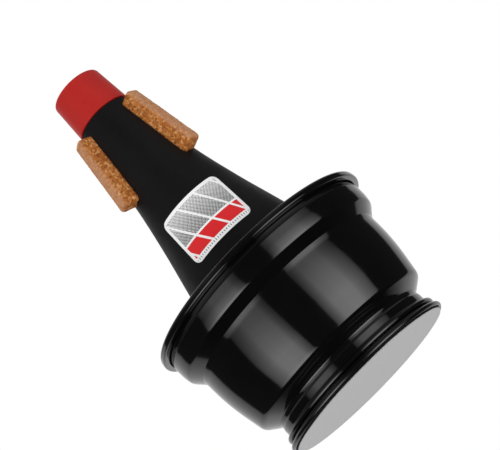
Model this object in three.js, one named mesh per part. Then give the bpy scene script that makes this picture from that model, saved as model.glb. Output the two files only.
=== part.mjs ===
// Trumpet cup mute. A hollow cone with a throat collar and three cork strips goes into the bell. A drum
// and a base plate close its wide end, and a spun cup slides and turns on the drum by friction.
// Millimetres, +Z up along the axis, origin at the middle of the base plate's outer face, label to -Y.

import * as THREE from "three";

// Fits and fineness
const CLEARANCE = 0.3; // gap between pieces that are glued, pressed or slide on each other
const FACETS = 48; // round a turned piece
const BEND_STEPS = 3; // along each curve of a bent sheet
const CONE_STEPS = 11; // along the cone
const NOSE_STEPS = 6; // round the ring's nose

// Base: the plate, the ring that carries it and the drum that stands in the ring
const PLATE_THICKNESS = 1.7;
const PLATE_BEVEL = 0.4;
const RING_WIDTH = 6.05; // from the drum to the ring's nose
const RING_NOSE_RADIUS = 1.1;
const RING_LIP = 0.85; // of the ring, outside the groove round the plate
const RING_GROOVE = 0.8;
const RING_WAIST = 2.15; // the ring draws in this far above its nose
const RING_SETBACK = 0.7; // the nose stays this far above the plate's face
const RING_HEIGHT = 3.75;
const LEDGE_THICKNESS = 1.2; // under the drum's wall
const LEDGE_WIDTH = 2.0;
const DRUM_RADIUS = 36.0;
const DRUM_WALL = 1.0;
const DRUM_HEIGHT = 43.3; // from the ledge to the shoulder that the cone stands on
const SPIGOT_HEIGHT = 6.0; // of the drum inside the cone

// Cone and throat collar
const CONE_WALL = 1.6;
const CONE_HEIGHT = 114.5;
const CONE_TIP_RADIUS = 13.15;
const COLLAR_HEIGHT = 19.0;
const COLLAR_STEP = 0.5; // it stands proud of the cone
const COLLAR_TIP_RADIUS = 12.45;
const COLLAR_BEVEL = 0.6;
const COLLAR_SPIGOT_WALL = 1.25;
const COLLAR_SPIGOT_HEIGHT = 8.0;

// The cone's flare: share of its height, then share of the way from its tip radius to its foot radius
const FLARE_SHARES = [
  [0, 1],
  [0.14, 0.806],
  [0.293, 0.624],
  [0.465, 0.4135],
  [0.661, 0.212],
  [0.83, 0.105],
  [1, 0],
];

// Cork strips
const CORK_LENGTH = 37.0;
const CORK_WIDTH = 8.0;
const CORK_TOP_THICKNESS = 5.8;
const CORK_FOOT_THICKNESS = 7.0;
const CORK_TOP_GAP = 3.5; // below the cone's tip
const CORK_RAKE = 1.3; // its outer face lies this much further up than its seat
const CORK_ROUNDING = 1.2;

// Label
const LABEL_LENGTH = 25.0;
const LABEL_WIDTH = 33.0;
const LABEL_THICKNESS = 0.3;
const LABEL_CORNER = 3.0;
const LABEL_TOP_DISTANCE = 57.5; // from the cone's tip

// Cup and the sleeve in its neck
const SLEEVE_WALL = 1.0;
const SLEEVE_HEIGHT = 9.6;
const CUP_WALL = 0.9;
const FOOT_REACH = 2.3; // of the cup's foot beyond its waist
const FOOT_HEIGHT = 1.15;
const NECK_SWELL = 0.25; // of the neck beyond the waist
const NECK_HEIGHT = 4.1;
const WAIST_HEIGHT = 0.7; // from the neck in to the waist
const SHOULDER_RISE = 1.9; // of the waist below the shoulder
const SHOULDER_STEP = 6.15;
const SHOULDER_HEIGHT = 4.5;
const BELLY_SWELL = 3.5;
const BELLY_LOWER_HEIGHT = 17.85; // where the belly leans out
const BELLY_UPPER_HEIGHT = 10.3; // where it is upright
const BELLY_LIP_STEP = 0.35;
const BELLY_LIP_HEIGHT = 2.2;
const BAND_STEP = 4.0;
const BAND_STEP_HEIGHT = 4.55;
const BAND_LOWER_SWELL = 0.53;
const BAND_LOWER_HEIGHT = 2.55;
const BAND_UPPER_SWELL = 0.17;
const BAND_UPPER_HEIGHT = 4.8;
const BAND_EDGE_STEP = 0.25; // where the band ends and the crease begins
const BAND_EDGE_HEIGHT = 0.4;
const CREASE_DEPTH = 0.3; // under the rolled rim
const CREASE_HEIGHT = 2.4;
const RIM_HEIGHT = 2.75;
const RIM_WIDTH = 2.95;
const RIM_FLANK_STEP = 0.18;
const RIM_FLANK_HEIGHT = 2.15;
const RIM_CURL_WIDTH = 1.8; // of the sheet turned back under the rim
const RIM_CURL_DROP = 0.25;

// Bends of the cup's sheet: the length that a bend's curve takes off both sides of its corner
const BEVEL_BELOW = 0.35; // a bend smaller than this is one straight bevel
const FOOT_BEND = 0.6;
const FOOT_FILLET = 1.45;
const WAIST_BEND = 0.3;
const SHOULDER_LOWER_BEND = 1.0;
const SHOULDER_UPPER_BEND = 1.3;
const BELLY_BEND = 9.3;
const BELLY_LIP_BEND = 0.8;
const BAND_STEP_LOWER_BEND = 0.2;
const BAND_STEP_UPPER_BEND = 0.7;
const BAND_BEND = 1.8;
const BAND_EDGE_BEND = 0.2;
const CREASE_BEND = 0.3;
const RIM_INNER_BEND = 1.1;
const RIM_OUTER_BEND = 0.6;
const RIM_CURL_BEND = 0.3;

// Sizes that follow from the ones above
const RING_RADIUS = DRUM_RADIUS + RING_WIDTH;
const GROOVE_RADIUS = RING_RADIUS - RING_LIP;
const PLATE_RADIUS = GROOVE_RADIUS - RING_GROOVE;
const DRUM_FOOT = PLATE_THICKNESS + LEDGE_THICKNESS;
const DRUM_SHOULDER = DRUM_FOOT + DRUM_HEIGHT;
const CONE_FOOT = DRUM_SHOULDER + CLEARANCE;
const CONE_TIP = CONE_FOOT + CONE_HEIGHT;
const COLLAR_FOOT = CONE_TIP + CLEARANCE;
const COLLAR_TOP = COLLAR_FOOT + COLLAR_HEIGHT;
const COLLAR_FOOT_RADIUS = CONE_TIP_RADIUS + COLLAR_STEP;
const COLLAR_SPIGOT_RADIUS = CONE_TIP_RADIUS - CONE_WALL - CLEARANCE;
const THROAT_RADIUS = COLLAR_SPIGOT_RADIUS - COLLAR_SPIGOT_WALL;
const SLEEVE_BORE = DRUM_RADIUS + CLEARANCE;
const SLEEVE_RADIUS = SLEEVE_BORE + SLEEVE_WALL;
const WAIST_RADIUS = SLEEVE_RADIUS + CLEARANCE + CUP_WALL / 2; // middle of the sheet, as for all of the cup
const LIP_RADIUS = SLEEVE_BORE + CLEARANCE;
const CUP_FOOT = RING_HEIGHT + CLEARANCE + CUP_WALL / 2;
const SLEEVE_FOOT = CUP_FOOT + CUP_WALL / 2 + CLEARANCE;

const FIBRE = { color: 0x161617, roughness: 0.6, metalness: 0 };
const RED = { color: 0xb22c28, roughness: 0.45, metalness: 0 };
const CORK = { color: 0xb97a45, roughness: 0.9, metalness: 0 };
const PAPER = { color: 0xe6e6e6, roughness: 0.5, metalness: 0 };
const BLACK_LACQUER = { color: 0x0a0a0b, roughness: 0.12, metalness: 0 };
const SATIN_METAL = { color: 0xb2b2b2, roughness: 0.4, metalness: 1 };
const FELT = { color: 0x2b2b2d, roughness: 0.95, metalness: 0 };

// A named mesh with a material of its own
function pieceOf(name, geometry, finish) {
  const mesh = new THREE.Mesh(geometry, new THREE.MeshStandardMaterial(finish));
  mesh.name = name;
  return mesh;
}

// A piece turned about Z from a closed outline of [radius, height] points, listed anticlockwise
function turned(name, outline, finish) {
  const points = [...outline, outline[0]].map(([radius, height]) => new THREE.Vector2(radius, height));
  const geometry = new THREE.LatheGeometry(points, FACETS).rotateX(Math.PI / 2);
  return pieceOf(name, geometry, finish);
}

// The middle of a bent sheet, through corners of [radius, height, bend]
function bentPath(corners) {
  const path = new THREE.Path();
  const spots = corners.map(([radius, height]) => new THREE.Vector2(radius, height));
  const last = spots.length - 1;
  path.moveTo(...spots[0]);
  for (let index = 1; index < last; index += 1) {
    const corner = spots[index];
    const toward = (spot) => spot.clone().sub(corner).setLength(corners[index][2]).add(corner);
    path.lineTo(...toward(spots[index - 1]));
    const end = toward(spots[index + 1]);
    if (corners[index][2] < BEVEL_BELOW) path.lineTo(...end);
    else path.quadraticCurveTo(...corner, ...end);
  }
  path.lineTo(...spots[last]);
  return path;
}

// The closed outline of a sheet of even wall whose middle follows a path. A place that a tight bend
// would put behind the one before it is left out.
function sheetOutline(path, wall) {
  const middle = path.getPoints(BEND_STEPS);
  const side = (sign) => {
    const places = [];
    middle.forEach((point, index) => {
      const before = middle[Math.max(index - 1, 0)];
      const after = middle[Math.min(index + 1, middle.length - 1)];
      const along = after.clone().sub(before).normalize();
      const across = new THREE.Vector2(along.y, -along.x);
      const place = point.clone().addScaledVector(across, (sign * wall) / 2);
      const behind = places.length > 0 && place.clone().sub(places.at(-1)).dot(along) <= 0;
      if (!behind) places.push(place);
    });
    return places.map((place) => place.toArray());
  };
  return [...side(1), ...side(-1).reverse()];
}

// Smooth curve through [position, value] pairs, with the slope of each from its neighbours
function smoothThrough(pairs, position) {
  const last = pairs.length - 1;
  const slopes = pairs.map((pair, index) => {
    const before = pairs[Math.max(index - 1, 0)];
    const after = pairs[Math.min(index + 1, last)];
    return (after[1] - before[1]) / (after[0] - before[0]);
  });
  let index = 0;
  while (index < last - 1 && position > pairs[index + 1][0]) index += 1;
  const [start, from] = pairs[index];
  const [end, to] = pairs[index + 1];
  const span = end - start;
  const share = THREE.MathUtils.clamp((position - start) / span, 0, 1);
  const ease = share * share * (3 - 2 * share);
  const leaving = share * (1 - share) * (1 - share) * span * slopes[index];
  const arriving = share * share * (share - 1) * span * slopes[index + 1];
  return from + (to - from) * ease + leaving + arriving;
}

// Outer radius of the cone at a height
function coneRadius(height) {
  const share = smoothThrough(FLARE_SHARES, (height - CONE_FOOT) / CONE_HEIGHT);
  return CONE_TIP_RADIUS + (DRUM_RADIUS - CONE_TIP_RADIUS) * share;
}

// A curved block that lies round the cone at one bearing. Each row is a height with the block's half
// width there, its inner and outer radius, how far its outer corners are drawn in, how far its outer
// face is raked up, and whether it wraps round the cone as a sheet does or keeps its sides parallel.
function wrappedBlock(rows, columns, bearing) {
  const positions = [];
  const place = (radius, offset, height, wraps) => {
    const angle = bearing + (wraps ? offset / radius : Math.asin(offset / radius));
    positions.push(radius * Math.cos(angle), radius * Math.sin(angle), height);
  };
  for (const { height, halfWidth, inner, outer, corner = 0, rake = 0, wraps = false } of rows) {
    for (let column = 0; column <= columns; column += 1) {
      const offset = halfWidth * ((2 * column) / columns - 1);
      const rounded = column === 0 || column === columns ? corner : 0;
      place(inner, offset, height, wraps);
      place(outer - rounded, offset, height + rake, wraps);
    }
  }
  const perRow = 2 * (columns + 1);
  const indices = [];
  const quad = (a, b, c, d) => indices.push(a, b, c, a, c, d);
  const lastRow = (rows.length - 1) * perRow;
  for (let column = 0; column < columns; column += 1) {
    const left = 2 * column;
    const right = left + 2;
    quad(left, right, right + 1, left + 1);
    quad(lastRow + left, lastRow + left + 1, lastRow + right + 1, lastRow + right);
    for (let row = 0; row < lastRow; row += perRow) {
      quad(row + left + 1, row + right + 1, row + perRow + right + 1, row + perRow + left + 1);
      quad(row + left, row + perRow + left, row + perRow + right, row + right);
    }
  }
  for (let row = 0; row < lastRow; row += perRow) {
    const end = row + perRow - 2;
    quad(row, row + 1, row + perRow + 1, row + perRow);
    quad(end, end + perRow, end + perRow + 1, end + 1);
  }
  const geometry = new THREE.BufferGeometry();
  geometry.setAttribute("position", new THREE.Float32BufferAttribute(positions, 3));
  geometry.setIndex(indices);
  geometry.computeVertexNormals();
  return geometry;
}

function basePlate() {
  const outline = [
    [0, 0],
    [PLATE_RADIUS - PLATE_BEVEL, 0],
    [PLATE_RADIUS, PLATE_BEVEL],
    [PLATE_RADIUS, PLATE_THICKNESS],
    [0, PLATE_THICKNESS],
  ];
  return turned("base_plate", outline, SATIN_METAL);
}

function baseRing() {
  const noseRadius = RING_RADIUS - RING_NOSE_RADIUS;
  const noseHeight = RING_SETBACK + RING_NOSE_RADIUS;
  const first = -Math.acos((GROOVE_RADIUS - noseRadius) / RING_NOSE_RADIUS);
  const nose = Array.from({ length: NOSE_STEPS + 1 }, (_, step) => {
    const turn = first + (Math.PI / 2 - first) * (step / NOSE_STEPS);
    return [noseRadius + RING_NOSE_RADIUS * Math.cos(turn), noseHeight + RING_NOSE_RADIUS * Math.sin(turn)];
  });
  const outline = [
    ...nose,
    [RING_RADIUS - RING_WAIST, noseHeight + RING_NOSE_RADIUS],
    [RING_RADIUS - RING_WAIST, RING_HEIGHT],
    [DRUM_RADIUS + CLEARANCE, RING_HEIGHT],
    [DRUM_RADIUS + CLEARANCE, DRUM_FOOT],
    [DRUM_RADIUS - LEDGE_WIDTH, DRUM_FOOT],
    [DRUM_RADIUS - LEDGE_WIDTH, PLATE_THICKNESS],
    [GROOVE_RADIUS, PLATE_THICKNESS],
  ];
  return turned("base_ring", outline, BLACK_LACQUER);
}

// The drum's spigot follows the inside of the cone that stands on its shoulder
function baseDrum() {
  const spigotRadius = (height) => coneRadius(height + CLEARANCE) - CONE_WALL - CLEARANCE;
  const top = DRUM_SHOULDER + SPIGOT_HEIGHT;
  const outline = [
    [DRUM_RADIUS, DRUM_FOOT],
    [DRUM_RADIUS, DRUM_SHOULDER],
    [spigotRadius(DRUM_SHOULDER), DRUM_SHOULDER],
    [spigotRadius(top), top],
    [spigotRadius(top) - DRUM_WALL, top],
    [spigotRadius(DRUM_SHOULDER) - DRUM_WALL, DRUM_SHOULDER],
    [spigotRadius(DRUM_SHOULDER) - DRUM_WALL, DRUM_SHOULDER - DRUM_WALL],
    [DRUM_RADIUS - DRUM_WALL, DRUM_SHOULDER - CONE_WALL - DRUM_WALL],
    [DRUM_RADIUS - DRUM_WALL, DRUM_FOOT],
  ];
  return turned("base_drum", outline, BLACK_LACQUER);
}

function coneShell() {
  const outer = Array.from({ length: CONE_STEPS + 1 }, (_, step) => {
    const height = CONE_FOOT + (CONE_HEIGHT * step) / CONE_STEPS;
    return [coneRadius(height), height];
  });
  const inner = outer.map(([radius, height]) => [radius - CONE_WALL, height]);
  return turned("cone_shell", [...outer, ...inner.reverse()], FIBRE);
}

function throatCollar() {
  const outline = [
    [COLLAR_SPIGOT_RADIUS, COLLAR_FOOT],
    [COLLAR_FOOT_RADIUS, COLLAR_FOOT],
    [COLLAR_TIP_RADIUS, COLLAR_TOP - COLLAR_BEVEL],
    [COLLAR_TIP_RADIUS - COLLAR_BEVEL, COLLAR_TOP],
    [THROAT_RADIUS + COLLAR_BEVEL, COLLAR_TOP],
    [THROAT_RADIUS, COLLAR_TOP - COLLAR_BEVEL],
    [THROAT_RADIUS, COLLAR_FOOT - COLLAR_SPIGOT_HEIGHT],
    [COLLAR_SPIGOT_RADIUS, COLLAR_FOOT - COLLAR_SPIGOT_HEIGHT],
  ];
  return turned("throat_collar", outline, RED);
}

// Three strips, one straight behind the label and one to each side of it
function corkStrips() {
  const names = ["cork_strip_back", "cork_strip_left", "cork_strip_right"];
  const columns = 4;
  const shares = [0, 0.25, 0.5, 0.75, 1];
  const top = CONE_TIP - CORK_TOP_GAP;
  const foot = top - CORK_LENGTH;
  const row = (height, drawnIn) => {
    const share = (height - foot) / CORK_LENGTH;
    const thickness = THREE.MathUtils.lerp(CORK_FOOT_THICKNESS, CORK_TOP_THICKNESS, share);
    const inner = coneRadius(height) + CLEARANCE;
    const outer = inner + thickness - drawnIn;
    return { height, inner, outer, halfWidth: CORK_WIDTH / 2, corner: CORK_ROUNDING / 2, rake: CORK_RAKE };
  };
  const rows = [
    row(foot, CORK_ROUNDING),
    ...shares.map((share) => row(foot + CORK_ROUNDING + (CORK_LENGTH - 2 * CORK_ROUNDING) * share, 0)),
    row(top, CORK_ROUNDING),
  ];
  return names.map((name, index) => {
    const bearing = Math.PI / 2 + (2 * Math.PI * index) / names.length;
    return pieceOf(name, wrappedBlock(rows, columns, bearing), CORK);
  });
}

// The label is a sheet that wraps round the front of the cone
function label() {
  const columns = 8;
  const steps = 5;
  const cornerSteps = 2;
  const foot = CONE_TIP - LABEL_TOP_DISTANCE - LABEL_LENGTH;
  const quarter = Array.from({ length: cornerSteps + 1 }, (_, step) => (step / cornerSteps) * (Math.PI / 2));
  const corner = quarter.map((angle) => ({
    rise: LABEL_CORNER * (1 - Math.cos(angle)),
    narrowing: LABEL_CORNER * (1 - Math.sin(angle)),
  }));
  const straight = LABEL_LENGTH - 2 * LABEL_CORNER;
  const middle = Array.from({ length: steps - 1 }, (_, step) => ({
    rise: LABEL_CORNER + (straight * (step + 1)) / steps,
    narrowing: 0,
  }));
  const upper = corner.map(({ rise, narrowing }) => ({ rise: LABEL_LENGTH - rise, narrowing })).reverse();
  const rows = [...corner, ...middle, ...upper].map(({ rise, narrowing }) => {
    const height = foot + rise;
    const inner = coneRadius(height) + CLEARANCE;
    const outer = inner + LABEL_THICKNESS;
    return { height, inner, outer, halfWidth: LABEL_WIDTH / 2 - narrowing, wraps: true };
  });
  return pieceOf("label", wrappedBlock(rows, columns, -Math.PI / 2), PAPER);
}

function gripSleeve() {
  const top = SLEEVE_FOOT + SLEEVE_HEIGHT;
  const outline = [
    [SLEEVE_BORE, SLEEVE_FOOT],
    [SLEEVE_RADIUS, SLEEVE_FOOT],
    [SLEEVE_RADIUS, top],
    [SLEEVE_BORE, top],
  ];
  return turned("grip_sleeve", outline, FELT);
}

// The cup is one spun sheet: foot, neck, waist, shoulder, belly, step, band, crease and rolled rim
function cupShell() {
  let radius = WAIST_RADIUS;
  let height = CUP_FOOT;
  const corners = [[LIP_RADIUS, CUP_FOOT, 0]];
  const on = (step, rise, bend) => {
    radius += step;
    height += rise;
    corners.push([radius, height, bend]);
  };
  on(FOOT_REACH, 0, FOOT_BEND);
  on(0, FOOT_HEIGHT, FOOT_BEND);
  on(NECK_SWELL - FOOT_REACH, 0, FOOT_FILLET);
  on(0, NECK_HEIGHT, WAIST_BEND);
  on(-NECK_SWELL, WAIST_HEIGHT, WAIST_BEND);
  on(0, SHOULDER_RISE, SHOULDER_LOWER_BEND);
  on(SHOULDER_STEP, SHOULDER_HEIGHT, SHOULDER_UPPER_BEND);
  on(BELLY_SWELL, BELLY_LOWER_HEIGHT, BELLY_BEND);
  on(0, BELLY_UPPER_HEIGHT, BELLY_LIP_BEND);
  on(BELLY_LIP_STEP, BELLY_LIP_HEIGHT, BAND_STEP_LOWER_BEND);
  on(BAND_STEP, BAND_STEP_HEIGHT, BAND_STEP_UPPER_BEND);
  on(BAND_LOWER_SWELL, BAND_LOWER_HEIGHT, BAND_BEND);
  on(BAND_UPPER_SWELL, BAND_UPPER_HEIGHT, BAND_EDGE_BEND);
  on(-BAND_EDGE_STEP, BAND_EDGE_HEIGHT, BAND_EDGE_BEND);
  on(-CREASE_DEPTH, CREASE_HEIGHT, CREASE_BEND);
  on(0, RIM_HEIGHT, RIM_INNER_BEND);
  on(RIM_WIDTH, 0, RIM_OUTER_BEND);
  on(RIM_FLANK_STEP, -RIM_FLANK_HEIGHT, RIM_CURL_BEND);
  on(-RIM_CURL_WIDTH, -RIM_CURL_DROP, 0);
  return turned("cup_shell", sheetOutline(bentPath(corners), CUP_WALL), BLACK_LACQUER);
}

// The mute's own body stands on the base plate
const mute = new THREE.Group();
mute.add(basePlate(), baseRing(), baseDrum(), coneShell(), throatCollar(), ...corkStrips(), label());

// The sleeve slides along the drum, and the cup turns on the sleeve and slides with it
const cup = new THREE.Group();
cup.add(gripSleeve(), cupShell());

const cupMute = new THREE.Group();
cupMute.add(mute, cup);

export default cupMute;
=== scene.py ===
"""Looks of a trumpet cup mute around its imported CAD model. Shapes are in millimetres until they become
meshes, in the frame of the CAD model: +Z along the axis from the base to the throat, label towards -Y."""

import math

import bmesh
import bpy
from mathutils import Matrix, Vector, noise


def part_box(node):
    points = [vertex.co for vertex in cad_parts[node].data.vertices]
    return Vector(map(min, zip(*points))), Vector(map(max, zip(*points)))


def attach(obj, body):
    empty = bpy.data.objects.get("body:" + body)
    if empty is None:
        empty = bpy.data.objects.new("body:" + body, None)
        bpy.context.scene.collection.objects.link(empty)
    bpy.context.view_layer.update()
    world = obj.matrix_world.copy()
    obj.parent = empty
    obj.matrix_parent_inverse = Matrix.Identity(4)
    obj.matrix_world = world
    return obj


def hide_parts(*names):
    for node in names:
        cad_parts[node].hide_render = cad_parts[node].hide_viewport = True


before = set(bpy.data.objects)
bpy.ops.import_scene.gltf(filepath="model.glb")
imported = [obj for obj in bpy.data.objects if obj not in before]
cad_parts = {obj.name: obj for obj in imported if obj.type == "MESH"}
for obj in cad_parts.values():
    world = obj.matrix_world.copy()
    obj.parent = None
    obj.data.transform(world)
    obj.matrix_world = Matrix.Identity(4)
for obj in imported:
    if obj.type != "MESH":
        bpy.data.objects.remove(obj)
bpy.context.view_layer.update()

MM = 0.001
SEGMENTS = 192  # round a turned piece
BEND_STEPS = 9  # along each curve of an outline
CONE_STEPS = 54  # along the cone's flare
NOSE_STEPS = 18  # round the base ring's nose
ARC_STEPS = 6  # round an edge
HOLD = 0.12  # a flat face keeps its own shading up to this near its edge
SHORTEST = 0.02  # a straight stretch below this between two bends is left out
SAME_POINT = 0.001  # points nearer than this are one


# Sizes that the CAD model gives


def outer_radius(node):
    low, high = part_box(node)
    return (high.x - low.x) / 2 / MM


def foot_of(node):
    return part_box(node)[0].z / MM


def top_of(node):
    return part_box(node)[1].z / MM


PLATE_RADIUS = outer_radius("base_plate")
PLATE_THICKNESS = top_of("base_plate")
RING_RADIUS = outer_radius("base_ring")
RING_FOOT = foot_of("base_ring")
RING_TOP = top_of("base_ring")
DRUM_RADIUS = outer_radius("base_drum")
DRUM_FOOT = foot_of("base_drum")
DRUM_TOP = top_of("base_drum")
CONE_FOOT = foot_of("cone_shell")
CONE_TIP = top_of("cone_shell")
COLLAR_FOOT_RADIUS = outer_radius("throat_collar")
COLLAR_SPIGOT_FOOT = foot_of("throat_collar")
COLLAR_TOP = top_of("throat_collar")
SLEEVE_RADIUS = outer_radius("grip_sleeve")
SLEEVE_FOOT = foot_of("grip_sleeve")
SLEEVE_TOP = top_of("grip_sleeve")
CUP_FOOT_FACE = foot_of("cup_shell")

# Sizes that only the CAD model's source names, repeated here
CLEARANCE = 0.3
PLATE_BEVEL = 0.4
RING_NOSE_RADIUS = 1.1
RING_LIP = 0.85
RING_WAIST = 2.15
LEDGE_WIDTH = 2.0
DRUM_WALL = 1.0
CONE_WALL = 1.6
CONE_TIP_RADIUS = 13.15
COLLAR_TIP_RADIUS = 12.45
COLLAR_SPIGOT_WALL = 1.25
CORK_LENGTH = 37.0
CORK_WIDTH = 8.0
CORK_TOP_THICKNESS = 5.8
CORK_FOOT_THICKNESS = 7.0
CORK_TOP_GAP = 3.5
CORK_RAKE = 1.3
LABEL_LENGTH = 25.0
LABEL_WIDTH = 33.0
LABEL_CORNER = 3.0
LABEL_TOP_DISTANCE = 57.5
CUP_WALL = 0.9
FOOT_REACH = 2.3
FOOT_HEIGHT = 1.15
FOOT_BEND = 0.6
FOOT_FILLET = 1.45
NECK_SWELL = 0.25
NECK_HEIGHT = 4.1
WAIST_HEIGHT = 0.7
WAIST_BEND = 0.3
SHOULDER_RISE = 1.9
SHOULDER_STEP = 6.15
SHOULDER_HEIGHT = 4.5
SHOULDER_LOWER_BEND = 1.0
SHOULDER_UPPER_BEND = 1.3
BELLY_SWELL = 3.5
BELLY_LOWER_HEIGHT = 17.85
BELLY_UPPER_HEIGHT = 10.3
BELLY_BEND = 9.3
BELLY_LIP_STEP = 0.35
BELLY_LIP_HEIGHT = 2.2
BELLY_LIP_BEND = 0.8
BAND_STEP = 4.0
BAND_STEP_HEIGHT = 4.55
BAND_STEP_LOWER_BEND = 0.2
BAND_STEP_UPPER_BEND = 0.7
BAND_LOWER_SWELL = 0.53
BAND_LOWER_HEIGHT = 2.55
BAND_BEND = 1.8
BAND_UPPER_SWELL = 0.17
BAND_UPPER_HEIGHT = 4.8
BAND_EDGE_STEP = 0.25
BAND_EDGE_HEIGHT = 0.4
BAND_EDGE_BEND = 0.2
CREASE_DEPTH = 0.3
CREASE_HEIGHT = 2.4
CREASE_BEND = 0.3
RIM_HEIGHT = 2.75
RIM_WIDTH = 2.95
RIM_INNER_BEND = 1.1
RIM_OUTER_BEND = 0.6
RIM_FLANK_STEP = 0.18
RIM_FLANK_HEIGHT = 2.15
RIM_CURL_BEND = 0.3
RIM_CURL_WIDTH = 1.8
RIM_CURL_DROP = 0.25

# The cone's flare: share of its height, then share of the way from its tip radius to its foot radius
FLARE_SHARES = [
    (0, 1),
    (0.14, 0.806),
    (0.293, 0.624),
    (0.465, 0.4135),
    (0.661, 0.212),
    (0.83, 0.105),
    (1, 0),
]

# Edges of the fine shapes: the length that a rounding cuts off both sides of its corner
CONE_EDGE = 0.3
COLLAR_FOOT_EDGE = 0.25
COLLAR_OUTER_EDGE = 0.8
COLLAR_THROAT_EDGE = 0.7
COLLAR_SPIGOT_EDGE = 0.3
DRUM_FOOT_EDGE = 0.2
DRUM_SHOULDER_EDGE = 0.25
DRUM_SPIGOT_EDGE = 0.2
DRUM_INNER_EDGE = 0.3
SLEEVE_FOOT_EDGE = 0.25
SLEEVE_TOP_EDGE = 0.4
CORK_EDGE = 1.8

# The cork's uneven surface: waves of noise to a millimetre, and their depths
CORK_STEP = 0.45  # between the points of its mesh
COARSE_GRAINS = 0.9
COARSE_DEPTH = 0.13
FINE_GRAINS = 2.3
FINE_DEPTH = 0.07
PITS = 1.4
PIT_LEVEL = 0.42  # noise above this is a pit
PIT_DEPTH = 0.5
WANDERS = 0.12  # of a strip's sides along its length
WANDER_DEPTH = 0.12
CORK_SINKING = 0.1  # makes room for the grains


# Outlines, as lists of (radius, height) points


def clamped(value, low, high):
    return min(max(value, low), high)


def bezier(points, steps=BEND_STEPS):
    """Points along the curve that these control points pull, without its first."""
    found = []
    for step in range(1, steps + 1):
        level = [Vector(point) for point in points]
        while len(level) > 1:
            level = [a.lerp(b, step / steps) for a, b in zip(level, level[1:])]
        found.append(tuple(level[0]))
    return found


def straight(start, end, way):
    """Points on along a straight stretch, one near each end to hold its shading."""
    start, end = Vector(start), Vector(end)
    length = (end - start).dot(way)
    if length < SHORTEST:
        return []
    hold = way * min(HOLD, length / 3)
    return [tuple(start + hold), tuple(end - hold), tuple(end)]


def bent_line(corners):
    """Points along a line through (radius, height, bend) corners. Each bend is the length that its curve
    takes off both sides of its corner."""
    line = [tuple(corners[0][:2])]
    for index in range(1, len(corners) - 1):
        corner = Vector(corners[index][:2])
        back = (Vector(corners[index - 1][:2]) - corner).normalized()
        on = (Vector(corners[index + 1][:2]) - corner).normalized()
        bend = corners[index][2]
        start = corner + back * bend
        line += straight(line[-1], start, -back)
        line += bezier([start, corner, corner + on * bend])
    return line + straight(line[-1], corners[-1][:2], on)


def arc(radius, height, size, start, end, steps):
    """Points round a circle of this size about a (radius, height) point, from one angle to another."""
    turns = [start + (end - start) * step / steps for step in range(steps + 1)]
    return [(radius + size * math.cos(turn), height + size * math.sin(turn)) for turn in turns]


def rounded(corners):
    """A closed outline from (radius, height, rounding) corners. Each rounding is the length cut off both
    sides of its corner, and a point beside it holds the flat part's shading."""
    outline = []
    for index, (radius, height, rounding) in enumerate(corners):
        corner = Vector((radius, height))
        if rounding == 0:
            outline.append(tuple(corner))
            continue
        before = Vector(corners[index - 1][:2])
        after = Vector(corners[(index + 1) % len(corners)][:2])
        back = (before - corner).normalized()
        on = (after - corner).normalized()
        start = corner + back * rounding
        end = corner + on * rounding
        outline.append(tuple(start + back * HOLD))
        outline.append(tuple(start))
        outline += bezier([start, corner, end], ARC_STEPS)
        outline.append(tuple(end + on * HOLD))
    return outline


def smooth_through(pairs, position):
    """The value at a position on a smooth curve through (position, value) pairs."""
    last = len(pairs) - 1
    slopes = []
    for index in range(len(pairs)):
        before = pairs[max(index - 1, 0)]
        after = pairs[min(index + 1, last)]
        slopes.append((after[1] - before[1]) / (after[0] - before[0]))
    index = 0
    while index < last - 1 and position > pairs[index + 1][0]:
        index += 1
    start, value = pairs[index]
    end, next_value = pairs[index + 1]
    span = end - start
    share = clamped((position - start) / span, 0, 1)
    ease = share * share * (3 - 2 * share)
    leaving = share * (1 - share) * (1 - share) * span * slopes[index]
    arriving = share * share * (share - 1) * span * slopes[index + 1]
    return value + (next_value - value) * ease + leaving + arriving


def cone_radius(height):
    share = smooth_through(FLARE_SHARES, (height - CONE_FOOT) / (CONE_TIP - CONE_FOOT))
    return CONE_TIP_RADIUS + (DRUM_RADIUS - CONE_TIP_RADIUS) * share


def sheet_outline(middle, wall):
    """The closed outline of a sheet whose middle follows these points, with round edges."""
    half = wall / 2
    points = [Vector(point) for point in middle]
    last = len(points) - 1
    ways = [(points[min(i + 1, last)] - points[max(i - 1, 0)]).normalized() for i in range(last + 1)]

    def side(sign):
        found = []
        for point, way in zip(points, ways):
            place = point + Vector((way.y, -way.x)) * sign * half
            if not found or (place - found[-1]).dot(way) > 0:
                found.append(place)
        return found

    def edge(point, way):
        across = Vector((way.y, -way.x))
        turns = [math.pi * step / ARC_STEPS for step in range(1, ARC_STEPS)]
        return [point + (across * math.cos(turn) + way * math.sin(turn)) * half for turn in turns]

    outline = side(1) + edge(points[-1], ways[-1]) + side(-1)[::-1] + edge(points[0], -ways[0])
    return [tuple(point) for point in outline]


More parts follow.
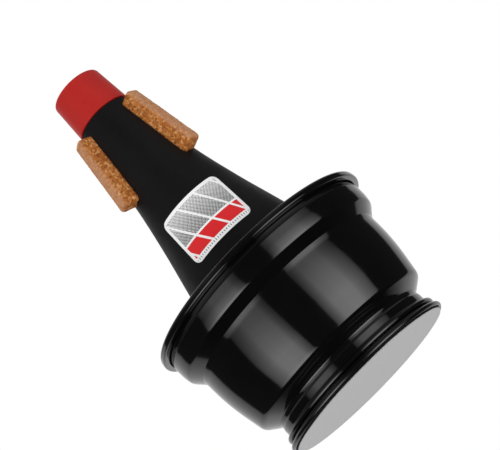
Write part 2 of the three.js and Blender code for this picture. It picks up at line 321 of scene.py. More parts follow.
def cup_outline():
    """The cup's sheet: foot, neck, waist, shoulder, belly, step, band, crease and rolled rim."""
    radius = SLEEVE_RADIUS + CLEARANCE + CUP_WALL / 2
    height = CUP_FOOT_FACE + CUP_WALL / 2
    corners = [(DRUM_RADIUS + 2 * CLEARANCE, height, 0)]

    def on(step, rise, bend):
        nonlocal radius, height
        radius += step
        height += rise
        corners.append((radius, height, bend))

    on(FOOT_REACH, 0, FOOT_BEND)
    on(0, FOOT_HEIGHT, FOOT_BEND)
    on(NECK_SWELL - FOOT_REACH, 0, FOOT_FILLET)
    on(0, NECK_HEIGHT, WAIST_BEND)
    on(-NECK_SWELL, WAIST_HEIGHT, WAIST_BEND)
    on(0, SHOULDER_RISE, SHOULDER_LOWER_BEND)
    on(SHOULDER_STEP, SHOULDER_HEIGHT, SHOULDER_UPPER_BEND)
    on(BELLY_SWELL, BELLY_LOWER_HEIGHT, BELLY_BEND)
    on(0, BELLY_UPPER_HEIGHT, BELLY_LIP_BEND)
    on(BELLY_LIP_STEP, BELLY_LIP_HEIGHT, BAND_STEP_LOWER_BEND)
    on(BAND_STEP, BAND_STEP_HEIGHT, BAND_STEP_UPPER_BEND)
    on(BAND_LOWER_SWELL, BAND_LOWER_HEIGHT, BAND_BEND)
    on(BAND_UPPER_SWELL, BAND_UPPER_HEIGHT, BAND_EDGE_BEND)
    on(-BAND_EDGE_STEP, BAND_EDGE_HEIGHT, BAND_EDGE_BEND)
    on(-CREASE_DEPTH, CREASE_HEIGHT, CREASE_BEND)
    on(0, RIM_HEIGHT, RIM_INNER_BEND)
    on(RIM_WIDTH, 0, RIM_OUTER_BEND)
    on(RIM_FLANK_STEP, -RIM_FLANK_HEIGHT, RIM_CURL_BEND)
    on(-RIM_CURL_WIDTH, -RIM_CURL_DROP, 0)
    return sheet_outline(bent_line(corners), CUP_WALL)


def cone_outline():
    """The cone's flared wall, rounded at its tip."""
    foot = CONE_FOOT + CONE_EDGE
    tip = CONE_TIP - CONE_EDGE
    heights = [foot + (tip - foot) * step / CONE_STEPS for step in range(CONE_STEPS + 1)]
    outer = [(cone_radius(height), height) for height in heights]
    inner = [(radius - CONE_WALL, height) for radius, height in outer]
    outside = outer[-1][0]
    inside = inner[-1][0]
    tip_outside = bezier([outer[-1], (outside, CONE_TIP), (outside - CONE_EDGE, CONE_TIP)], ARC_STEPS)
    tip_inside = bezier([(inside + CONE_EDGE, CONE_TIP), (inside, CONE_TIP), inner[-1]], ARC_STEPS)
    foot_face = [(inner[0][0], CONE_FOOT), (outer[0][0], CONE_FOOT)]
    return outer + tip_outside + tip_inside + inner[::-1] + foot_face


def collar_outline():
    """The collar, with the throat through it and its spigot inside the cone."""
    foot = CONE_TIP + CLEARANCE
    spigot = CONE_TIP_RADIUS - CONE_WALL - CLEARANCE
    throat = spigot - COLLAR_SPIGOT_WALL
    return rounded([
        (spigot, foot, 0),
        (COLLAR_FOOT_RADIUS, foot, COLLAR_FOOT_EDGE),
        (COLLAR_TIP_RADIUS, COLLAR_TOP, COLLAR_OUTER_EDGE),
        (throat, COLLAR_TOP, COLLAR_THROAT_EDGE),
        (throat, COLLAR_SPIGOT_FOOT, COLLAR_SPIGOT_EDGE),
        (spigot, COLLAR_SPIGOT_FOOT, COLLAR_SPIGOT_EDGE),
    ])


def ring_outline():
    """The ring's round nose beside the plate, its waist under the cup and the ledge under the drum."""
    nose_radius = RING_RADIUS - RING_NOSE_RADIUS
    nose_height = RING_FOOT + RING_NOSE_RADIUS
    nose_top = nose_height + RING_NOSE_RADIUS
    lip = RING_RADIUS - RING_LIP
    waist = RING_RADIUS - RING_WAIST
    bore = DRUM_RADIUS + CLEARANCE / 2
    ledge = DRUM_RADIUS - LEDGE_WIDTH
    first = -math.acos((lip - nose_radius) / RING_NOSE_RADIUS)
    nose = arc(nose_radius, nose_height, RING_NOSE_RADIUS, first, math.pi / 2, NOSE_STEPS)
    return nose + [
        (waist + HOLD, nose_top),
        (waist, nose_top),
        (waist, nose_top + HOLD),
        (waist, RING_TOP),
        (bore, RING_TOP),
        (bore, DRUM_FOOT),
        (ledge, DRUM_FOOT),
        (ledge, PLATE_THICKNESS),
        (lip, PLATE_THICKNESS),
    ]


def drum_outline():
    """The drum's wall and its shoulder under the cone, with a spigot inside the cone's foot."""

    def spigot(height):
        return cone_radius(height + CLEARANCE) - CONE_WALL - CLEARANCE

    shoulder = CONE_FOOT - CLEARANCE
    inside = spigot(shoulder) - DRUM_WALL
    bore = DRUM_RADIUS - DRUM_WALL
    return rounded([
        (DRUM_RADIUS, DRUM_FOOT, DRUM_FOOT_EDGE),
        (DRUM_RADIUS, shoulder, DRUM_SHOULDER_EDGE),
        (spigot(shoulder), shoulder, 0),
        (spigot(DRUM_TOP), DRUM_TOP, DRUM_SPIGOT_EDGE),
        (spigot(DRUM_TOP) - DRUM_WALL, DRUM_TOP, DRUM_SPIGOT_EDGE),
        (inside, shoulder, 0),
        (inside, shoulder - DRUM_WALL, 0),
        (bore, shoulder - CONE_WALL - DRUM_WALL, DRUM_INNER_EDGE),
        (bore, DRUM_FOOT, 0),
    ])


def plate_outline():
    """The solid disc, from its middle, with the edge of its outer face bevelled."""
    return rounded([
        (0, 0, 0),
        (PLATE_RADIUS, 0, PLATE_BEVEL),
        (PLATE_RADIUS, PLATE_THICKNESS, 0),
        (0, PLATE_THICKNESS, 0),
    ])


def sleeve_outline():
    bore = DRUM_RADIUS + CLEARANCE
    return rounded([
        (bore, SLEEVE_FOOT, SLEEVE_FOOT_EDGE),
        (SLEEVE_RADIUS, SLEEVE_FOOT, SLEEVE_FOOT_EDGE),
        (SLEEVE_RADIUS, SLEEVE_TOP, SLEEVE_TOP_EDGE),
        (bore, SLEEVE_TOP, SLEEVE_TOP_EDGE),
    ])


# Meshes


def placed(name, data):
    """A new object in the scene."""
    item = bpy.data.objects.new(name, data)
    bpy.context.scene.collection.objects.link(item)
    return item


def piece_of(name, vertices, faces, body, node, material, outsides=None):
    """A smooth piece that stands for a CAD node. Outsides says how much each vertex belongs to the outer
    face, from 0 to 1."""
    mesh = bpy.data.meshes.new(name)
    mesh.from_pydata([Vector(vertex) * MM for vertex in vertices], [], faces)
    if outsides:
        mesh.attributes.new("outside", "FLOAT", "POINT").data.foreach_set("value", outsides)
    shape = bmesh.new()
    shape.from_mesh(mesh)
    bmesh.ops.remove_doubles(shape, verts=shape.verts, dist=SAME_POINT * MM)
    bmesh.ops.recalc_face_normals(shape, faces=shape.faces)
    shape.to_mesh(mesh)
    shape.free()
    mesh.shade_smooth()
    mesh.materials.append(material)
    piece = placed(name, mesh)
    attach(piece, body)
    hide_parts(node)
    return piece


def lay_plan(mesh, name, plan):
    """A UV map that gives each vertex its place in a plan."""
    uv = mesh.uv_layers.new(name=name)
    for loop in mesh.loops:
        uv.data[loop.index].uv = plan[loop.vertex_index]


def round_point(radius, angle, height):
    """A point by its distance from the axis, its angle about the axis and its height."""
    return (radius * math.cos(angle), radius * math.sin(angle), height)


def turned(name, outline, body, node, material):
    """A piece turned about the axis from a closed outline."""
    vertices = []
    for radius, height in outline:
        for segment in range(SEGMENTS):
            angle = 2 * math.pi * segment / SEGMENTS
            vertices.append(round_point(radius, angle, height))
    faces = []
    for row in range(len(outline)):
        after = (row + 1) % len(outline)
        if outline[row][0] == outline[after][0] == 0:
            continue
        here = row * SEGMENTS
        there = after * SEGMENTS
        for segment in range(SEGMENTS):
            beside = (segment + 1) % SEGMENTS
            faces.append((here + segment, here + beside, there + beside, there + segment))
    piece_of(name, vertices, faces, body, node, material)


def cork_block(halves):
    """A plain block of these half sizes about the origin, its faces in small squares."""
    counts = [max(2, round(2 * half / CORK_STEP)) for half in halves]
    shape = bmesh.new()
    for axis in range(3):
        across = (axis + 1) % 3
        along = (axis + 2) % 3
        for sign in (-1, 1):
            grid = []
            for i in range(counts[across] + 1):
                line = []
                for j in range(counts[along] + 1):
                    place = Vector((0, 0, 0))
                    place[axis] = sign * halves[axis]
                    place[across] = halves[across] * (2 * i / counts[across] - 1)
                    place[along] = halves[along] * (2 * j / counts[along] - 1)
                    line.append(shape.verts.new(place))
                grid.append(line)
            for i in range(counts[across]):
                for j in range(counts[along]):
                    corners = (grid[i][j], grid[i + 1][j], grid[i + 1][j + 1], grid[i][j + 1])
                    shape.faces.new(corners)
    bmesh.ops.remove_doubles(shape, verts=shape.verts, dist=SAME_POINT)
    bmesh.ops.recalc_face_normals(shape, faces=shape.faces)
    return shape


def worn(flat, halves):
    """Where a point of the block lies with the edges worn round, and the way out of the block there. The
    edges beside the cone stay sharp."""
    core = Vector([clamped(c, CORK_EDGE - half, half - CORK_EDGE) for c, half in zip(flat, halves)])
    if flat.z <= -halves.z + CORK_EDGE:
        core.z = flat.z
    if (flat - core).length == 0:
        return flat, Vector((0, 0, -1))
    out = (flat - core).normalized()
    return core + out * CORK_EDGE, out


def cork_relief(place, seed):
    """How far the cork stands out at a place."""
    coarse = noise.noise(place * COARSE_GRAINS + seed) * COARSE_DEPTH
    fine = noise.noise(place * FINE_GRAINS - seed) * FINE_DEPTH
    pit = max(0, noise.noise(place * PITS + seed * 2) - PIT_LEVEL) * PIT_DEPTH
    return coarse + fine - pit - CORK_SINKING


def cork_strip(name, node, bearing, material):
    """A block of pressed cork with worn edges, bent to the cone, its surface uneven with grains."""
    inner_turn = 0.15  # a face turned outward by less than this is a side
    outer_turn = 0.9  # and by more than this is the outer face
    seed_step = 40
    halves = Vector((CORK_WIDTH / 2, CORK_LENGTH / 2, CORK_TOP_THICKNESS / 2))
    shape = cork_block(halves)
    foot = CONE_TIP - CORK_TOP_GAP - CORK_LENGTH
    seed = Vector((0, 0, seed_step * bearing))
    vertices = []
    outsides = []
    for vertex in shape.verts:
        place, out = worn(vertex.co.copy(), halves)
        wander = noise.noise(Vector((0, place.y * WANDERS, 0)) + seed) * WANDER_DEPTH
        place += out * cork_relief(place, seed) + Vector((wander, 0, 0))
        height = foot + CORK_LENGTH / 2 + place.y
        thickening = 1 + (CORK_FOOT_THICKNESS / CORK_TOP_THICKNESS - 1) * (0.5 - place.y / CORK_LENGTH)
        share = max(place.z / CORK_TOP_THICKNESS + 0.5, 0)
        depth = share * CORK_TOP_THICKNESS * thickening
        seat = cone_radius(clamped(height, CONE_FOOT, CONE_TIP)) + CLEARANCE * min(depth, 1)
        radius = seat + depth
        angle = bearing + math.asin(place.x / radius)
        vertices.append(round_point(radius, angle, height + CORK_RAKE * share))
        outsides.append(clamped((out.z - inner_turn) / (outer_turn - inner_turn), 0, 1))
    shape.verts.index_update()
    faces = [[vertex.index for vertex in face.verts] for face in shape.faces]
    shape.free()
    piece_of(name, vertices, faces, "mute", node, material, outsides)


def label_sheet(material):
    """A thin sheet that wraps round the front of the cone, with a plan of it in its UV map."""
    thickness = 0.14
    gap = CLEARANCE / 6
    columns = 48
    corner_steps = 8
    side_steps = 24
    side = LABEL_LENGTH - 2 * LABEL_CORNER
    rows = []
    for step in range(corner_steps + 1):
        turn = math.pi / 2 * step / corner_steps
        rows.append((LABEL_CORNER * (1 - math.cos(turn)), LABEL_CORNER * (1 - math.sin(turn))))
    for step in range(1, side_steps):
        rows.append((LABEL_CORNER + side * step / side_steps, 0))
    rows += [(LABEL_LENGTH - rise, narrowing) for rise, narrowing in rows[corner_steps::-1]]
    foot = CONE_TIP - LABEL_TOP_DISTANCE - LABEL_LENGTH
    vertices = []
    plan = []
    for lift in (0, thickness):
        for rise, narrowing in rows:
            radius = cone_radius(foot + rise) + gap + lift
            for column in range(columns + 1):
                offset = (LABEL_WIDTH / 2 - narrowing) * (2 * column / columns - 1)
                angle = offset / radius - math.pi / 2
                vertices.append(round_point(radius, angle, foot + rise))
                plan.append((offset / LABEL_WIDTH + 0.5, rise / LABEL_LENGTH))
    wide = columns + 1
    layer = wide * len(rows)
    faces = []
    for row in range(len(rows) - 1):
        for column in range(columns):
            start = row * wide + column
            face = (start, start + 1, start + wide + 1, start + wide)
            faces.append(face)
            faces.append(tuple(layer + vertex for vertex in face[::-1]))
        for start in (row * wide, row * wide + columns):
            faces.append((start, start + wide, layer + start + wide, layer + start))
    for start in (0, layer - wide):
        for vertex in range(start, start + columns):
            faces.append((vertex, vertex + 1, layer + vertex + 1, layer + vertex))
    piece = piece_of("label_sticker", vertices, faces, "mute", "label", material)
    lay_plan(piece.data, "LabelPlan", plan)


# Materials

# Limits that most noise stays between
NOISE_LOW = 0.3
NOISE_HIGH = 0.7


def srgb(red, green, blue):
    """A colour given as 0 to 255 in a picture, as the linear colour that a shader takes."""
    values = [channel / 255 for channel in (red, green, blue)]
    return (*[v / 12.92 if v <= 0.04045 else ((v + 0.055) / 1.055) ** 2.4 for v in values], 1)


def grey(level):
    """A grey by its linear level."""
    return (level, level, level, 1)


class Nodes:
    """Adds nodes to a tree. Each call returns the output that the next one takes."""

    def __init__(self, tree):
        self.tree = tree
        tree.nodes.clear()

    def add(self, kind, inputs=None, output=0, **settings):
        node = self.tree.nodes.new(kind)
        for name, value in settings.items():
            setattr(node, name, value)
        for name, value in (inputs or {}).items():
            if isinstance(value, bpy.types.NodeSocket):
                self.tree.links.new(value, node.inputs[name])
            else:
                node.inputs[name].default_value = value
        return node.outputs[output] if node.outputs else None

    def place(self):
        """Where a point of the object is, in metres."""
        return self.add("ShaderNodeTexCoord", output="Object")

    def split(self, place):
        """A place's x, y and z."""
        return self.add("ShaderNodeSeparateXYZ", {"Vector": place}).node.outputs

    def math(self, operation, first, second=0.0, third=0.0):
        return self.add("ShaderNodeMath", {0: first, 1: second, 2: third}, operation=operation)

    def times(self, first, *others):
        """The product of these values."""
        for other in others:
            first = self.math("MULTIPLY", first, other)
        return first

    def between(self, value, low, high):
        """1 where the value lies between two limits."""
        above = self.math("GREATER_THAN", value, low)
        return self.times(above, self.math("LESS_THAN", value, high))

    def mix(self, share, first, second):
        return self.add("ShaderNodeMix", {0: share, 6: first, 7: second}, 2, data_type="RGBA")

    def ranged(self, value, low, high, to_low=0.0, to_high=1.0):
        inputs = {"Value": value, "From Min": low, "From Max": high, "To Min": to_low, "To Max": to_high}
        return self.add("ShaderNodeMapRange", inputs)

    def varied(self, pattern, low, high):
        """A value that varies between two limits as a noise pattern does."""
        return self.ranged(pattern, NOISE_LOW, NOISE_HIGH, low, high)

    def ramp(self, value, stops):
        """A colour ramp through (position, colour) stops."""
        output = self.add("ShaderNodeValToRGB", {"Fac": value})
        elements = output.node.color_ramp.elements
        while len(elements) < len(stops):
            elements.new(1)
        for element, (position, colour) in zip(elements, stops):
            element.position = position
            element.color = colour
        return output

    def levels(self, value, stops):
        """A ramp of greys through (position, level) stops."""
        return self.ramp(value, [(position, grey(level)) for position, level in stops])

    def noise(self, place, size, detail=2, roughness=0.5):
        """Noise with grains of about this size in millimetres."""
        inputs = {"Vector": place, "Scale": 1 / (size * MM), "Detail": detail, "Roughness": roughness}
        return self.add("ShaderNodeTexNoise", inputs)

    def bump(self, height, depth, normal=None):
        """A bump as deep as this many millimetres where the height goes from 0 to 1."""
        inputs = {"Height": height, "Distance": depth * MM, "Strength": 1.0}
        if normal is not None:
            inputs["Normal"] = normal
        return self.add("ShaderNodeBump", inputs)


def material_of(name):
    """A new material, and its tree to add nodes to."""
    material = bpy.data.materials.new(name)
    material.use_nodes = True
    return material, Nodes(material.node_tree)


def surface(nodes, inputs):
    shader = nodes.add("ShaderNodeBsdfPrincipled", inputs)
    nodes.add("ShaderNodeOutputMaterial", {"Surface": shader})


def round_the_axis(nodes, place):
    """The distance from the mute's axis and the height, as one place for rings and spin lines, and then
    that distance alone."""
    x, y, z = nodes.split(place)
    squares = nodes.math("ADD", nodes.times(x, x), nodes.times(y, y))
    distance = nodes.math("SQRT", squares)
    return nodes.add("ShaderNodeCombineXYZ", {"X": distance, "Z": z}), distance


def black_lacquer(name, gloss):
    """Baked black lacquer on spun metal: a deep gloss, faint spin lines and a slightly uneven coat."""
    duller = 0.035
    material, nodes = material_of(name)
    place = nodes.place()
    rings, _ = round_the_axis(nodes, place)
    smear = nodes.noise(place, size=14, detail=3)
    base = nodes.mix(smear, srgb(6, 6, 7), srgb(11, 11, 11))
    roughness = nodes.varied(nodes.noise(place, size=6, detail=4), gloss, gloss + duller)
    spin = nodes.bump(nodes.noise(rings, size=1.3, detail=2), depth=0.004)
    uneven = nodes.bump(nodes.noise(place, size=5, detail=1), depth=0.012, normal=spin)
    surface(nodes, {"Base Color": base, "Roughness": roughness, "Normal": uneven, "IOR": 1.55})
    return material


def black_fibre():
    """Dull black vulcanised fibre, faintly mottled and grained."""
    material, nodes = material_of("black_fibre")
    place = nodes.place()
    mottle = nodes.noise(place, size=9, detail=5, roughness=0.6)
    grain = nodes.noise(place, size=0.5, detail=3, roughness=0.6)
    base = nodes.mix(mottle, srgb(9, 9, 10), srgb(14, 14, 15))
    base = nodes.mix(nodes.ranged(grain, 0.35, 0.75), base, srgb(20, 20, 21))
    roughness = nodes.varied(mottle, 0.48, 0.6)
    normal = nodes.bump(grain, depth=0.03, normal=nodes.bump(mottle, depth=0.05))
    inputs = {"Base Color": base, "Roughness": roughness, "Normal": normal, "Specular IOR Level": 0.2}
    surface(nodes, inputs)
    return material


def red_plastic():
    """Red moulded plastic with a satin face, paler in patches along its upper edge, and darkened in its
    throat by painted shade.
    """
    pale_edge_depth = 1.2
    rim_width = 1.9
    material, nodes = material_of("red_plastic")
    place = nodes.place()
    mottle = nodes.noise(place, size=7, detail=4, roughness=0.6)
    grain = nodes.noise(place, size=0.6, detail=3)
    base = nodes.mix(mottle, srgb(175, 29, 24), srgb(189, 37, 31))
    _, distance = round_the_axis(nodes, place)
    height = nodes.split(place)[2]
    # paler in patches towards the top of the collar
    edge = nodes.ranged(height, (COLLAR_TOP - pale_edge_depth) * MM, COLLAR_TOP * MM)
    patches = nodes.ranged(nodes.noise(place, size=1.6, detail=4), 0.45, 0.7)
    base = nodes.mix(nodes.times(edge, patches, 0.5), base, srgb(205, 96, 88))
    # painted shade: the throat's bore is darkened towards a deep red, for the shade inside the tube
    inside = nodes.math("LESS_THAN", distance, (COLLAR_TIP_RADIUS - rim_width) * MM)
    base = nodes.mix(nodes.times(inside, 0.6), base, srgb(96, 22, 22))
    roughness = nodes.varied(mottle, 0.4, 0.5)
    normal = nodes.bump(grain, depth=0.015, normal=nodes.bump(mottle, depth=0.04))
    inputs = {"Base Color": base, "Roughness": roughness, "Normal": normal, "Specular IOR Level": 0.3}
    surface(nodes, inputs)
    return material


def pressed_cork():
    """Pressed cork: fine grains of several browns, light and dark specks, and paler where the outer face
    is rubbed."""
    wobbles = 1500.0  # in a metre
    wobble_reach = 0.0006
    cells = 950.0  # in a metre
    material, nodes = material_of("pressed_cork")
    place = nodes.place()
    wobble = nodes.add("ShaderNodeTexNoise", {"Vector": place, "Scale": wobbles, "Detail": 2.0}, "Color")
    bent = nodes.add("ShaderNodeVectorMath", {0: wobble, "Scale": wobble_reach}, operation="SCALE")
    bent = nodes.add("ShaderNodeVectorMath", {0: place, 1: bent}, operation="ADD")
    grains = nodes.add("ShaderNodeTexVoronoi", {"Vector": bent, "Scale": cells, "Randomness": 1.0}, "Color")
    tone = nodes.add("ShaderNodeSeparateColor", {"Color": grains}, 0)
    edges = nodes.add("ShaderNodeTexVoronoi", {"Vector": bent, "Scale": cells}, feature="DISTANCE_TO_EDGE")
    browns = [
        (0.0, srgb(140, 76, 28)),
        (0.25, srgb(171, 99, 42)),
        (0.6, srgb(191, 118, 57)),
        (0.85, srgb(208, 144, 82)),
        (1.0, srgb(222, 166, 110)),
    ]
    sides = nodes.ramp(tone, browns)
    fine = nodes.noise(place, size=0.3, detail=4, roughness=0.7)
    cloud = nodes.noise(place, size=3.0, detail=3)
    sides = nodes.mix(nodes.ranged(fine, 0.35, 0.7, 0.0, 0.35), sides, srgb(164, 96, 42))
    pale = nodes.mix(nodes.ranged(fine, 0.35, 0.65), srgb(190, 133, 95), srgb(216, 166, 128))
    pale = nodes.mix(nodes.ranged(tone, 0.0, 1.0, 0.35, 0.0), pale, srgb(170, 112, 70))
    outside = nodes.add("ShaderNodeAttribute", output="Fac", attribute_name="outside")
    rubbed = nodes.times(outside, nodes.ranged(cloud, 0.35, 0.6, 0.7, 1.0))
    colour = nodes.mix(rubbed, sides, pale)
    seams = nodes.ranged(edges, 0.0, 0.1, 0.3, 0.0)
    colour = nodes.mix(seams, colour, srgb(112, 62, 24))
    specks = nodes.ranged(nodes.noise(place, size=0.8, detail=2), 0.66, 0.72, 0.0, 0.75)
    colour = nodes.mix(specks, colour, srgb(92, 50, 22))
    lights = nodes.ranged(nodes.noise(bent, size=0.9, detail=2), 0.67, 0.74, 0.0, 0.5)
    colour = nodes.mix(lights, colour, srgb(226, 176, 122))
    height = nodes.math("ADD", nodes.ranged(edges, 0.0, 0.2), nodes.times(fine, 0.7))
    height = nodes.math("SUBTRACT", height, specks)
    normal = nodes.bump(height, depth=0.1)
    surface(nodes, {"Base Color": colour, "Roughness": 0.85, "Normal": normal, "Specular IOR Level": 0.2})
    return material


def satin_plate():
    """Grey satin metal with the fine rings that turning leaves, its side painted black as shade beside the
    ring.
    """
    painted_shade_start = PLATE_BEVEL * 0.3
    painted_shade_end = PLATE_BEVEL * 0.8
    material, nodes = material_of("satin_plate")
    place = nodes.place()
    rings, _ = round_the_axis(nodes, place)
    fine = nodes.noise(rings, size=0.25, detail=2)
    mottle = nodes.noise(place, size=12, detail=4)
    base = nodes.mix(nodes.times(fine, 0.5), srgb(215, 215, 215), srgb(223, 223, 223))
    base = nodes.mix(nodes.times(mottle, 0.3), base, srgb(210, 210, 211))
    # painted shade: the upper part of the bevel and the side go black, for the shade in the gap beside the
    # ring
    height = nodes.split(place)[2]
    side = nodes.ranged(height, painted_shade_start * MM, painted_shade_end * MM)
    base = nodes.mix(side, base, srgb(16, 16, 16))
    roughness = nodes.varied(fine, 0.42, 0.5)
    normal = nodes.bump(fine, depth=0.002)
    inputs = {"Base Color": base, "Roughness": roughness, "Normal": normal, "Metallic": 0.7}
    surface(nodes, inputs)
    return material


def black_felt():
    """Dark felt, with a nap that catches the light."""
    material, nodes = material_of("black_felt")
    place = nodes.place()
    fluff = nodes.noise(place, size=0.45, detail=5, roughness=0.75)
    clumps = nodes.noise(place, size=2.5, detail=3)
    base = nodes.mix(fluff, srgb(30, 30, 31), srgb(58, 58, 60))
    base = nodes.mix(nodes.ranged(clumps, 0.4, 0.7, 0.0, 0.5), base, srgb(36, 36, 38))
    normal = nodes.bump(fluff, depth=0.25)
    inputs = {"Base Color": base, "Roughness": 0.95, "Normal": normal, "Sheen Weight": 0.3}
    surface(nodes, inputs)
    return material


def label_film():
    """A printed sticker of a plain pattern: a dotted panel over a red one, both cut by slanting stripes,
    over a row of short ticks. Lengths are in millimetres across from its middle and up from its foot."""
    material, nodes = material_of("label_film")
    plan = nodes.add("ShaderNodeUVMap", uv_map="LabelPlan")
    u, v, _ = nodes.split(plan)
    across = nodes.times(nodes.math("SUBTRACT", u, 0.5), LABEL_WIDTH)
    up = nodes.times(v, LABEL_LENGTH)
    white = srgb(248, 248, 248)
    red = srgb(226, 30, 36)
    ink = srgb(52, 52, 54)

    border = 1.5
    tick_room = 1.1
    split = 9.0
    gap = 0.9
    width = LABEL_WIDTH / 2 - border
    wide = nodes.between(across, -width, width)
    red_panel = nodes.times(wide, nodes.between(up, border + tick_room, split))
    dot_panel = nodes.times(wide, nodes.between(up, split + gap, LABEL_LENGTH - border))

    slope = 0.55
    stripe_pitch = 9.5
    stripe_width = 1.1
    stripe_shift = 2.4
    slant = nodes.math("ADD", across, nodes.times(up, slope))
    slant = nodes.math("ADD", slant, stripe_shift)
    wave = nodes.math("PINGPONG", slant, stripe_pitch / 2)
    clear = nodes.math("GREATER_THAN", wave, stripe_width / 2)

    dot_pitch = 0.62
    dots_to_length = math.sqrt(0.5) * math.tau / dot_pitch
    turned_across = nodes.times(nodes.math("ADD", across, up), dots_to_length)
    turned_up = nodes.times(nodes.math("SUBTRACT", across, up), dots_to_length)
    waves = nodes.math("ADD", nodes.math("COSINE", turned_across), nodes.math("COSINE", turned_up))
    fade = nodes.ranged(up, split, LABEL_LENGTH, -0.55, 0.35)
    dots = nodes.math("GREATER_THAN", waves, fade)

    tick_pitch = 1.2
    tick_share = 0.36
    tick_foot = 1.0
    tick_top = 1.9
    beside = nodes.math("PINGPONG", across, tick_pitch / 2)
    ticks = nodes.math("GREATER_THAN", beside, tick_pitch * tick_share)
    ticks = nodes.times(ticks, wide, nodes.between(up, tick_foot, tick_top))

    colour = nodes.mix(nodes.times(red_panel, clear), white, red)
    colour = nodes.mix(nodes.times(dot_panel, clear, dots), colour, ink)
    colour = nodes.mix(ticks, colour, ink)
    place = nodes.place()
    normal = nodes.bump(nodes.noise(place, size=4, detail=2), depth=0.02)
    roughness = nodes.varied(nodes.noise(place, size=3, detail=3), 0.38, 0.48)
    surface(nodes, {"Base Color": colour, "Roughness": roughness, "Normal": normal})
    return material


# The mute


def build_mute():
    cup_lacquer = black_lacquer("cup_lacquer", gloss=0.07)
    ring_lacquer = black_lacquer("ring_lacquer", gloss=0.17)
    drum_lacquer = black_lacquer("drum_lacquer", gloss=0.22)
    cork = pressed_cork()
    turned("spun_cup", cup_outline(), "cup", "cup_shell", cup_lacquer)
    turned("felt_sleeve", sleeve_outline(), "sleeve", "grip_sleeve", black_felt())
    turned("foot_ring", ring_outline(), "mute", "base_ring", ring_lacquer)
    turned("foot_plate", plate_outline(), "mute", "base_plate", satin_plate())
    turned("drum_wall", drum_outline(), "mute", "base_drum", drum_lacquer)
    turned("fibre_cone", cone_outline(), "mute", "cone_shell", black_fibre())
    turned("red_collar", collar_outline(), "mute", "throat_collar", red_plastic())
    for index, side in enumerate(("back", "left", "right")):
        bearing = math.pi / 2 + 2 * math.pi * index / 3
        cork_strip("cork_" + side, "cork_strip_" + side, bearing, cork)
    label_sheet(label_film())


# The studio, in metres and degrees

CAMERA_PITCH = 15.54
CAMERA_YAW = 1.049
CAMERA_SLANT = 44.59  # of the mute's axis in the picture
CAMERA_LENS = 102.87  # millimetres, as is the sensor's width
CAMERA_SENSOR = 36
CAMERA_PLACE = (0, -0.57623, -0.07856)

PANEL_MIDDLE = Vector((0, -0.02, 0.05))
PANEL_REACH = 0.9
PANEL_STEPS = 24
PANEL_STRENGTH = 4.0
PANEL_TOP = 16  # elevation of a panel's upper edge
PANEL_INNER_FOOT = -45  # elevation of its inner edge's foot
PANEL_OUTER_FOOT = -33  # elevation of its outer edge's foot
PANEL_SPREAD = 11  # how much further round its outer edge's foot is than the top

# Bearings of a panel's edges: the inner edge's top, the inner edge's foot and the outer edge's top
RIGHT_EDGES = (16, 19, 70)
LEFT_EDGES = (17, 15, 67)

# Light of a panel, as (share of the way, level): from its inner edge outwards, and from its top down
LIGHT_OUTWARDS = [
    (0.0, 0.2),
    (0.07, 0.36),
    (0.14, 0.56),
    (0.22, 0.87),
    (0.45, 1.0),
    (0.63, 0.95),
    (0.7, 0.74),
    (0.77, 0.58),
    (0.84, 0.46),
    (0.92, 0.34),
    (1.0, 0.18),
]
RIGHT_LIGHT = [(0.0, 0.26), (0.14, 0.31), (0.26, 0.47), (0.39, 0.64), (0.52, 0.88), (0.64, 0.8)]
LEFT_LIGHT = [(0.0, 0.25), (0.14, 0.29), (0.26, 0.4), (0.39, 0.56), (0.45, 0.68), (0.52, 0.88), (0.64, 0.86)]

LAMP_SIZE = 1.2
LAMP_POWER = 10
LAMP_PLACE = (-0.25, 0.1, 1.3)

# What gloss sees round the mute, as (share of the way from front to back, level)
BACKDROP = [(0.0, 0.015), (0.75, 0.03), (0.765, 0.5), (0.79, 0.58), (0.87, 0.7), (1.0, 0.8)]
BACKDROP_SHIFT = 0.075  # how much further forward the backdrop reaches on the left
FILL = 0.44  # the even light from all round

FLOOR_RADIUS = 0.9
FLOOR_DROP = 0.0003
FADE_START = 0.25  # of the floor's radius
FADE_END = 0.98


def place_camera():
    """The photograph's view, from in front of the label and below the base."""
    pitch = math.radians(CAMERA_PITCH)
    yaw = math.radians(CAMERA_YAW)
    slant = math.radians(CAMERA_SLANT)
    toward = Vector((math.sin(yaw), math.cos(yaw) * math.cos(pitch), math.cos(yaw) * math.sin(pitch)))
    base_way = Vector((0, math.sin(pitch), -math.cos(pitch)))
    side_way = toward.cross(base_way)
    right = base_way * math.cos(slant) - side_way * math.sin(slant)
    down = base_way * math.sin(slant) + side_way * math.cos(slant)
    turn = Matrix((right, -down, -toward)).transposed().to_4x4()
    camera = placed("camera", bpy.data.cameras.new("camera"))
    camera.data.lens = CAMERA_LENS
    camera.data.sensor_width = CAMERA_SENSOR
    camera.matrix_world = Matrix.Translation(CAMERA_PLACE) @ turn
    bpy.context.scene.camera = camera


def direction(bearing, elevation):
    """A direction by its bearing from the front, towards +X, and its elevation, in degrees."""
    bearing, elevation = math.radians(bearing), math.radians(elevation)
    level = math.cos(elevation)
    return Vector((level * math.sin(bearing), -level * math.cos(bearing), math.sin(elevation)))


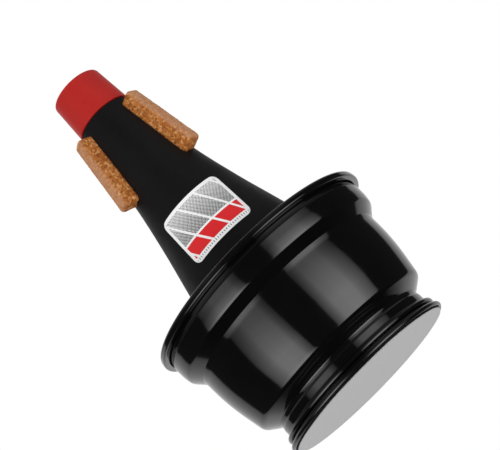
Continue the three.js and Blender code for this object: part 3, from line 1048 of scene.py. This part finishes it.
def panel_mesh(name, corners):
    """A panel between four corners: the inner top, the outer top, the outer foot and the inner foot. Its UV
    map goes from its inner edge outwards and from its top down."""
    vertices = []
    plan = []
    for row in range(PANEL_STEPS + 1):
        down = row / PANEL_STEPS
        for column in range(PANEL_STEPS + 1):
            outwards = column / PANEL_STEPS
            top = corners[0].lerp(corners[1], outwards)
            bottom = corners[3].lerp(corners[2], outwards)
            vertices.append(top.lerp(bottom, down))
            plan.append((outwards, down))
    wide = PANEL_STEPS + 1
    faces = []
    for row in range(PANEL_STEPS):
        for column in range(PANEL_STEPS):
            start = row * wide + column
            faces.append((start, start + 1, start + wide + 1, start + wide))
    mesh = bpy.data.meshes.new(name)
    mesh.from_pydata(vertices, [], faces)
    lay_plan(mesh, "PanelPlan", plan)
    return mesh


def panel_glow(name, light_down):
    """The glow of a panel, graded by its UV map."""
    material, nodes = material_of(name)
    plan = nodes.add("ShaderNodeUVMap", uv_map="PanelPlan")
    outwards, down, _ = nodes.split(plan)
    wide = nodes.levels(outwards, LIGHT_OUTWARDS)
    long = nodes.levels(down, light_down)
    glow = nodes.add("ShaderNodeEmission", {"Strength": nodes.times(wide, long, PANEL_STRENGTH)})
    nodes.add("ShaderNodeOutputMaterial", {"Surface": glow})
    return material


def soft_box(name, sign, edges, light_down):
    """A glowing panel to one side of the camera, on the right where the sign is 1 and the left where it is
    -1. It isn't seen itself, only in the gloss and by its light."""
    inner_top, inner_foot, outer = edges
    corners = [
        (inner_top, PANEL_TOP),
        (outer, PANEL_TOP),
        (outer + PANEL_SPREAD, PANEL_OUTER_FOOT),
        (inner_foot, PANEL_INNER_FOOT),
    ]
    ways = [direction(sign * bearing, elevation) for bearing, elevation in corners]
    facing = sum(ways, Vector()).normalized()
    points = [PANEL_MIDDLE + way * PANEL_REACH / way.dot(facing) for way in ways]
    mesh = panel_mesh(name, points)
    mesh.materials.append(panel_glow(name, light_down))
    panel = placed(name, mesh)
    panel.visible_camera = False


def overhead_lamp():
    """A wide lamp above the mute that gloss doesn't mirror."""
    lamp = bpy.data.lights.new("overhead", "AREA")
    lamp.shape = "DISK"
    lamp.size = LAMP_SIZE
    lamp.energy = LAMP_POWER
    overhead = placed("overhead", lamp)
    overhead.location = LAMP_PLACE
    overhead.visible_glossy = False


def white_world():
    """White where the camera looks. Gloss sees a pale backdrop behind the mute, a dim ceiling and a dark
    room elsewhere. The rest is an even fill."""
    world = bpy.data.worlds.new("studio")
    bpy.context.scene.world = world
    world.use_nodes = True
    nodes = Nodes(world.node_tree)
    way = nodes.add("ShaderNodeTexCoord", output="Generated")
    x, y, z = nodes.split(way)
    bearing = nodes.math("ARCTAN2", nodes.math("ABSOLUTE", x), nodes.times(y, -1.0))
    on_left = nodes.math("LESS_THAN", x, 0.0)
    half_turns = nodes.math("DIVIDE", bearing, math.pi)
    turn = nodes.math("MULTIPLY_ADD", on_left, BACKDROP_SHIFT, half_turns)
    low_down = nodes.ranged(z, -0.75, -0.45, 0.1, 1.0)
    backdrop = nodes.times(nodes.levels(turn, BACKDROP), low_down)
    high_up = nodes.ranged(z, 0.38, 0.46)
    overhead = nodes.ranged(z, 0.6, 0.85, 1.0, 0.3)
    sideways = nodes.ranged(bearing, 0.3, 0.6, 0.08, 0.36)
    ceiling = nodes.times(high_up, overhead, sideways)
    room = nodes.math("MAXIMUM", backdrop, ceiling)
    rays = nodes.add("ShaderNodeLightPath").node.outputs
    shiny = nodes.math("MAXIMUM", rays["Is Glossy Ray"], rays["Is Transmission Ray"])
    level = nodes.mix(shiny, grey(FILL), room)
    level = nodes.mix(rays["Is Camera Ray"], level, grey(1.0))
    background = nodes.add("ShaderNodeBackground", {"Color": level})
    nodes.add("ShaderNodeOutputWorld", {"Surface": background})


def pale_floor():
    """A pale floor under the base that fades into the white. It is seen from above only, because the
    photograph looks at the base from below, and it neither shades nor reflects in the mute."""
    mesh = bpy.data.meshes.new("floor")
    shape = bmesh.new()
    bmesh.ops.create_circle(shape, cap_ends=True, segments=64, radius=FLOOR_RADIUS)
    shape.to_mesh(mesh)
    shape.free()
    material, nodes = material_of("floor")
    distance = nodes.add("ShaderNodeVectorMath", {0: nodes.place()}, "Value", operation="LENGTH")
    fade = nodes.ranged(distance, FLOOR_RADIUS * FADE_START, FLOOR_RADIUS * FADE_END)
    under = nodes.add("ShaderNodeNewGeometry", output="Backfacing")
    paper = nodes.add("ShaderNodeBsdfDiffuse", {"Color": srgb(245, 245, 245)})
    clear = nodes.add("ShaderNodeBsdfTransparent")
    share = nodes.math("MAXIMUM", fade, under)
    mixed = nodes.add("ShaderNodeMixShader", {0: share, 1: paper, 2: clear})
    nodes.add("ShaderNodeOutputMaterial", {"Surface": mixed})
    mesh.materials.append(material)
    floor = placed("floor", mesh)
    floor.location.z = -FLOOR_DROP
    floor.visible_diffuse = False
    floor.visible_glossy = False
    floor.visible_shadow = False


place_camera()
build_mute()
white_world()
soft_box("soft_box_right", 1, RIGHT_EDGES, RIGHT_LIGHT)
soft_box("soft_box_left", -1, LEFT_EDGES, LEFT_LIGHT)
overhead_lamp()
pale_floor()
bpy.context.scene.view_settings.view_transform = "Standard"
